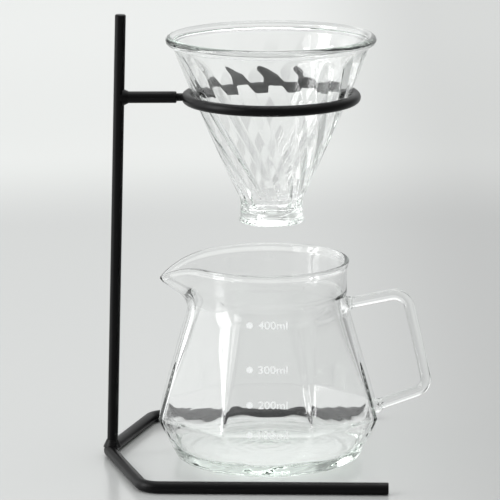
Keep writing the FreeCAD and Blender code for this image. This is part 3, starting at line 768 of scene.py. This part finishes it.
# turns the columns along the ribs, raises the ribs inside and creases the outside
def dripperShape(angle, radius, height, depth):
    rim = dripper["neckHeight"] + dripper["coneHeight"]
    share = angle * dripper["ribs"] / (2 * math.pi)
    across = share - np.round(share)
    crease = 4 * across * across
    ridge = np.abs(2 * across)
    below, above = dripper["ribStart"]
    strength = smoothStep(dripper["neckHeight"] + below, dripper["neckHeight"] + above, height)
    atFoot = dripper["footRibs"] * smoothStep(*dripper["footRibHeights"], height)
    strength = atFoot * (1 - strength) + strength
    fadeLow, fadeHigh = dripper["ribFade"]
    strength = strength * (1 - smoothStep(rim - fadeLow, rim - fadeHigh, height))
    pressed = np.where(depth > 0.5, dripper["ribDepth"] * ridge, dripper["fluteDepth"] * crease)
    pressed = pressed * np.where(radius < dripper["neckRadius"] - dripper["floorEdge"], 0.0, 1.0)
    onSide = np.where((depth > 0.5) | (radius > dripper["neckRadius"] - dripper["footEdge"]), 1.0, 0.0)
    radius = radius - pressed * strength * onSide
    return angle + swirlTurn(height), radius, height


# closed section: under the floor, round the foot, up outside, over the rim, down inside
def dripperOutline():
    neck, neckTop = dripper["neckRadius"], dripper["neckHeight"]
    foot, footTop = dripper["footRadius"], dripper["footHeight"]
    hole, recess, recessTop = dripper["holeRadius"], dripper["recessRadius"], dripper["recessDepth"]
    neckLow = footTop + dripper["footNeck"]
    outline = [(hole, recessTop + 0.3), (hole + 0.4, recessTop), (hole + 3.75, recessTop),
               (recess - 0.5, recessTop - 0.05), (recess, recessTop - 0.5),
               (recess + 0.15, 0.35), (recess + 0.5, 0.03)]
    outline += [(foot - 0.8, 0.0), (foot - 0.25, 0.15), (foot, 0.6), (foot, footTop - 0.5),
                (foot - 0.2, footTop + 0.1), (neck + 0.1, footTop + 0.7), (neck, neckLow)]

    below, above = dripper["neckBlend"]
    blendLow, coneLow = neckTop - below, neckTop + above
    rows = dripper["neckRows"]
    outline += [(neck, neckLow + (blendLow - neckLow) * index / rows) for index in range(1, rows + 1)]
    rows = dripper["blendRows"]
    for index in range(1, rows + 1):
        share = index / rows
        lift = neck + (float(coneRadius(coneLow)) - neck) * share * share
        outline.append((lift, blendLow + (coneLow - blendLow) * share))
    rows = dripper["coneRows"]
    rim = neckTop + dripper["coneHeight"]
    coneTop = rim - dripper["rimBead"] * dripper["beadUnder"]
    for index in range(1, rows + 1):
        height = coneLow + (coneTop - coneLow) * index / rows
        outline.append((float(coneRadius(height)), height))
    outline = [(radius, height, 0.0) for radius, height in outline]

    bead = dripper["rimBead"] / 2
    middle = dripper["coneTopRadius"] - dripper["rimBead"] * dripper["rimBite"]
    for turn in range(-70, 200, 15):  # degrees over the rim's bead
        outline.append((middle + bead * math.cos(math.radians(turn)),
                        rim - bead + bead * math.sin(math.radians(turn)), 0.0 if turn < 90 else 1.0))

    insideTop, bowlTop = rim - dripper["rimBead"] * dripper["beadInside"], neckTop + dripper["bowlRise"]
    for index in range(rows + 1):
        height = insideTop + (bowlTop - insideTop) * index / rows
        outline.append((float(coneRadius(height)) - dripper["wall"], height, 1.0))
    inner = float(coneRadius(bowlTop)) - dripper["wall"]
    floorTop = recessTop + dripper["floorThickness"]
    for share, rise in dripper["bowlCurve"]:
        outline.append((inner * share, floorTop + (bowlTop - floorTop) * rise, 1.0))
    outline += [(hole + 0.5, floorTop, 1.0), (hole, floorTop - 0.4, 1.0), (hole, floorTop - 1.2, 1.0)]
    return outline


def makeDripper():
    low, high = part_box("dripper")
    bm = spinOutline(dripperOutline(), dripper["columns"], False)
    reshape(bm, dripperShape)
    relax(bm, bm.verts, dripper["relaxFactor"], 1)
    bmesh.ops.recalc_face_normals(bm, faces=bm.faces)
    place = ((low.x + high.x) / 2, 0, low.z)
    piece = placeMesh("glassDripper", bm, dripperGlass, place)
    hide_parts("dripper")


makeDripper()
print("dripper pressed")


# volume marks: plain dots and numbers on the front flat

marks = {
    "levels": ((400, 71.0), (300, 51.6), (200, 36.2), (100, 23.2)),
    "dotX": -8.1,
    "dotRadius": 1.5,
    "dotSides": 40,
    "textX": -4.2,
    "textHeight": 3.55,
    "textWidth": 13.3,
    "textSize": 5.0,
    "textOffset": 0.05,
    "thickness": 0.02,
    "lift": 0.03,
    "weldGap": 0.001 * mm,
}


# one dot with its number, laid on the sloping flat
def makeMark(volume, height):
    flatTilt = math.atan2(sideLine - server["neckRadius"], taperTop - server["shoulderHeight"])
    curve = bpy.data.curves.new(f"volume_{volume}", "FONT")
    curve.body = f"{volume}ml"
    curve.size = marks["textSize"] * mm
    curve.extrude = marks["thickness"] / 2 * mm
    curve.offset = marks["textOffset"] * mm
    words = bpy.data.objects.new(f"volume_{volume}", curve)
    bpy.context.scene.collection.objects.link(words)
    bpy.context.view_layer.update()
    shaped = words.evaluated_get(bpy.context.evaluated_depsgraph_get())
    mesh = bpy.data.meshes.new_from_object(shaped)
    bpy.data.objects.remove(words)
    bm = bmesh.new()
    bm.from_mesh(mesh)
    bmesh.ops.remove_doubles(bm, verts=bm.verts, dist=marks["weldGap"])
    across, upwards = [vert.co.x for vert in bm.verts], [vert.co.y for vert in bm.verts]
    left, low = min(across), min(upwards)
    wide, tall = max(across) - left, max(upwards) - low
    bmesh.ops.translate(bm, verts=bm.verts, vec=(-left, -low - tall / 2, 0))
    fit = (marks["textWidth"] * mm / wide, marks["textHeight"] * mm / tall, 1)
    bmesh.ops.scale(bm, verts=bm.verts, vec=fit)
    bmesh.ops.translate(bm, verts=bm.verts, vec=(marks["textX"] * mm, 0, 0))
    dot = bmesh.ops.create_cone(bm, cap_ends=True, segments=marks["dotSides"],
                                radius1=marks["dotRadius"] * mm, radius2=marks["dotRadius"] * mm,
                                depth=marks["thickness"] * mm)
    bmesh.ops.translate(bm, verts=dot["verts"], vec=(marks["dotX"] * mm, 0, 0))
    out = sideLine - math.tan(flatTilt) * (height - server["shoulderHeight"])
    lean = Matrix.Rotation(math.pi / 2 - flatTilt, 4, "X")
    bmesh.ops.translate(bm, verts=bm.verts, vec=(0, 0, (marks["lift"] + marks["thickness"] / 2) * mm))
    bmesh.ops.transform(bm, matrix=lean, verts=bm.verts)
    bmesh.ops.recalc_face_normals(bm, faces=bm.faces)
    place = (0, -out * mm, height * mm)
    piece = placeMesh(f"volumeMark_{volume}", bm, scalePrint, place)
    for face in piece.data.polygons:
        face.use_smooth = False


for volume, height in marks["levels"]:
    makeMark(volume, height)
print("marks printed")


# stage: a pale glossy table with painted shade, darker near the middle and at the right and lighter
# further out, a painted pool of light under the glass, and soft studio light

stage = {
    "size": 9.0,
    # painted shade: the table's colour is darker towards the middle and lighter further out
    "paintedShadeTones": (
        (0.0, (0.418, 0.422, 0.418, 1)),
        (0.27, (0.605, 0.61, 0.60, 1)),
        (1.0, (0.71, 0.715, 0.705, 1)),
    ),
    "fade": (0.53, 1.5),
    # painted shade: the table's colour darkens towards the right
    "rightFade": (0.0, 0.13),
    "rightShade": 0.70,
    # painted light: a pool of brighter table colour under the glass stands in for the light the glass lets
    # through
    "paintedPoolSpot": (0.0, -0.012, 0.0),
    "paintedPoolFade": (0.018, 0.048),
    "paintedPoolLift": 1.36,
    "roughness": 0.20,
}


def makeTable():
    bm = bmesh.new()
    bmesh.ops.create_grid(bm, x_segments=2, y_segments=2, size=stage["size"] / 2)
    mesh = bpy.data.meshes.new("table")
    bm.to_mesh(mesh)
    bm.free()
    material, nodes, links, output, shader = newMaterial("paleTable")
    place = nodes.new("ShaderNodeTexCoord")
    distance = nodes.new("ShaderNodeVectorMath")
    distance.operation = "LENGTH"
    split = nodes.new("ShaderNodeSeparateXYZ")
    colours = nodes.new("ShaderNodeValToRGB")
    colours.color_ramp.interpolation = "EASE"
    colours.color_ramp.elements.new(0.5)
    for stop, (spot, colour) in zip(colours.color_ramp.elements, stage["paintedShadeTones"]):
        stop.position, stop.color = spot, colour
    shade = nodes.new("ShaderNodeHueSaturation")
    # painted light pool: distance from the spot under the glass
    paintedPool = nodes.new("ShaderNodeVectorMath")
    paintedPool.operation = "DISTANCE"
    paintedPool.inputs[1].default_value = stage["paintedPoolSpot"]
    links.new(place.outputs["Object"], paintedPool.inputs[0])
    links.new(place.outputs["Object"], distance.inputs[0])
    links.new(place.outputs["Object"], split.inputs["Vector"])
    # painted shade: darker near the middle, lighter further out, darker at the right
    links.new(rangeNode(nodes, links, distance.outputs["Value"], *stage["fade"], 0, 1, "LINEAR"),
              colours.inputs["Fac"])
    right = rangeNode(nodes, links, split.outputs["X"], *stage["rightFade"], 1, stage["rightShade"])
    # painted light: brightens the table's colour under the glass
    lift = rangeNode(nodes, links, paintedPool.outputs["Value"], *stage["paintedPoolFade"], stage["paintedPoolLift"], 1)
    links.new(mathNode(nodes, links, "MULTIPLY", right, lift), shade.inputs["Value"])
    links.new(colours.outputs["Color"], shade.inputs["Color"])
    links.new(shade.outputs["Color"], shader.inputs["Base Color"])
    shader.inputs["Roughness"].default_value = stage["roughness"]
    links.new(shader.outputs["BSDF"], output.inputs["Surface"])
    mesh.materials.append(material)
    table = bpy.data.objects.new("table", mesh)
    bpy.context.scene.collection.objects.link(table)


studio = {
    "colour": (0.985, 1.0, 0.995, 1),
    "sky": (0.72, 1.35),
    "skyHeights": (0.1, 0.6),
    "leftGlow": 1.2,
    "leftShade": -0.45,
    "glowFade": (-0.8, -0.5),
    "shadeFade": (-0.4, -0.2),
    "rightGlow": -0.40,
    "rightFade": (0.4, 0.9),
    "cameraSide": 0.42,
    "cameraFade": (-0.75, -0.2),
    "aim": (0, 0, 0.1),
    "bounces": 32,
    "glossyBounces": 16,
}


# bright above and at the left, darker behind the camera and at the right
def makeWorld():
    world = bpy.data.worlds.new("studio")
    bpy.context.scene.world = world
    world.use_nodes = True
    nodes, links = world.node_tree.nodes, world.node_tree.links
    back = nodes["Background"]
    place = nodes.new("ShaderNodeTexCoord")
    split = nodes.new("ShaderNodeSeparateXYZ")
    links.new(place.outputs["Generated"], split.inputs["Vector"])
    x, y, z = (split.outputs[axis] for axis in "XYZ")
    leftGlow, leftShade = studio["leftGlow"], studio["leftShade"]
    glow = rangeNode(nodes, links, x, *studio["glowFade"], leftGlow, leftShade)
    shade = rangeNode(nodes, links, x, *studio["shadeFade"], 0, -leftShade)
    right = rangeNode(nodes, links, x, *studio["rightFade"], 0, studio["rightGlow"])
    sky = rangeNode(nodes, links, z, *studio["skyHeights"], *studio["sky"])
    front = rangeNode(nodes, links, y, *studio["cameraFade"], studio["cameraSide"], 1)
    sides = mathNode(nodes, links, "ADD", mathNode(nodes, links, "ADD", glow, shade), right)
    strength = mathNode(nodes, links, "MULTIPLY", mathNode(nodes, links, "ADD", sky, sides), front)
    links.new(strength, back.inputs["Strength"])
    back.inputs["Color"].default_value = studio["colour"]


softBoxes = (
    {"name": "leftBox", "spot": (-1.3, -0.35, 0.55), "width": 0.45, "height": 1.0, "power": 9.0},
    {"name": "topBox", "spot": (0.1, 0.3, 1.7), "width": 1.2, "height": 1.0, "power": 9.0},
    {"name": "keyBox", "spot": (-1.15, -1.15, 0.75), "width": 0.45, "height": 0.7, "power": 2.6},
)


def makeSoftBox(box):
    light = bpy.data.lights.new(box["name"], "AREA")
    light.shape = "RECTANGLE"
    light.size, light.size_y = box["width"], box["height"]
    light.energy = box["power"]
    lamp = bpy.data.objects.new(box["name"], light)
    lamp.location = box["spot"]
    ahead = Vector(studio["aim"]) - Vector(box["spot"])
    lamp.rotation_euler = ahead.to_track_quat("-Z", "Y").to_euler()
    bpy.context.scene.collection.objects.link(lamp)


makeTable()
makeWorld()
for box in softBoxes:
    makeSoftBox(box)
cycles = bpy.context.scene.cycles
cycles.max_bounces = cycles.transmission_bounces = studio["bounces"]
cycles.glossy_bounces = studio["glossyBounces"]
print("stage lit")


# camera at the photo's angle

view = {
    "target": (-8.14, 0.0, 98.01),
    "distance": 1663.16,
    "yaw": -0.62,
    "pitch": 12.10,
    "roll": -0.24,
    "lens": 259.84,
    "sensor": 36.0,
    "clip": (0.05, 50.0),
}


def makeCamera():
    yaw, pitch, roll = (math.radians(view[name]) for name in ("yaw", "pitch", "roll"))
    ahead = Vector((math.sin(yaw) * math.cos(pitch), math.cos(yaw) * math.cos(pitch), -math.sin(pitch)))
    right = Vector((math.cos(yaw), -math.sin(yaw), 0))
    up = right.cross(ahead)
    rolledRight = right * math.cos(roll) + up * math.sin(roll)
    rolledUp = up * math.cos(roll) - right * math.sin(roll)
    turn = Matrix((rolledRight, rolledUp, -ahead)).transposed()
    data = bpy.data.cameras.new("camera")
    data.sensor_width = view["sensor"]
    data.lens = view["lens"]
    data.clip_start, data.clip_end = view["clip"]
    camera = bpy.data.objects.new("camera", data)
    spot = (Vector(view["target"]) - ahead * view["distance"]) * mm
    camera.matrix_world = Matrix.Translation(spot) @ turn.to_4x4()
    bpy.context.scene.collection.objects.link(camera)
    bpy.context.scene.camera = camera


makeCamera()
bpy.context.scene.view_settings.view_transform = "Standard"
print("camera set")
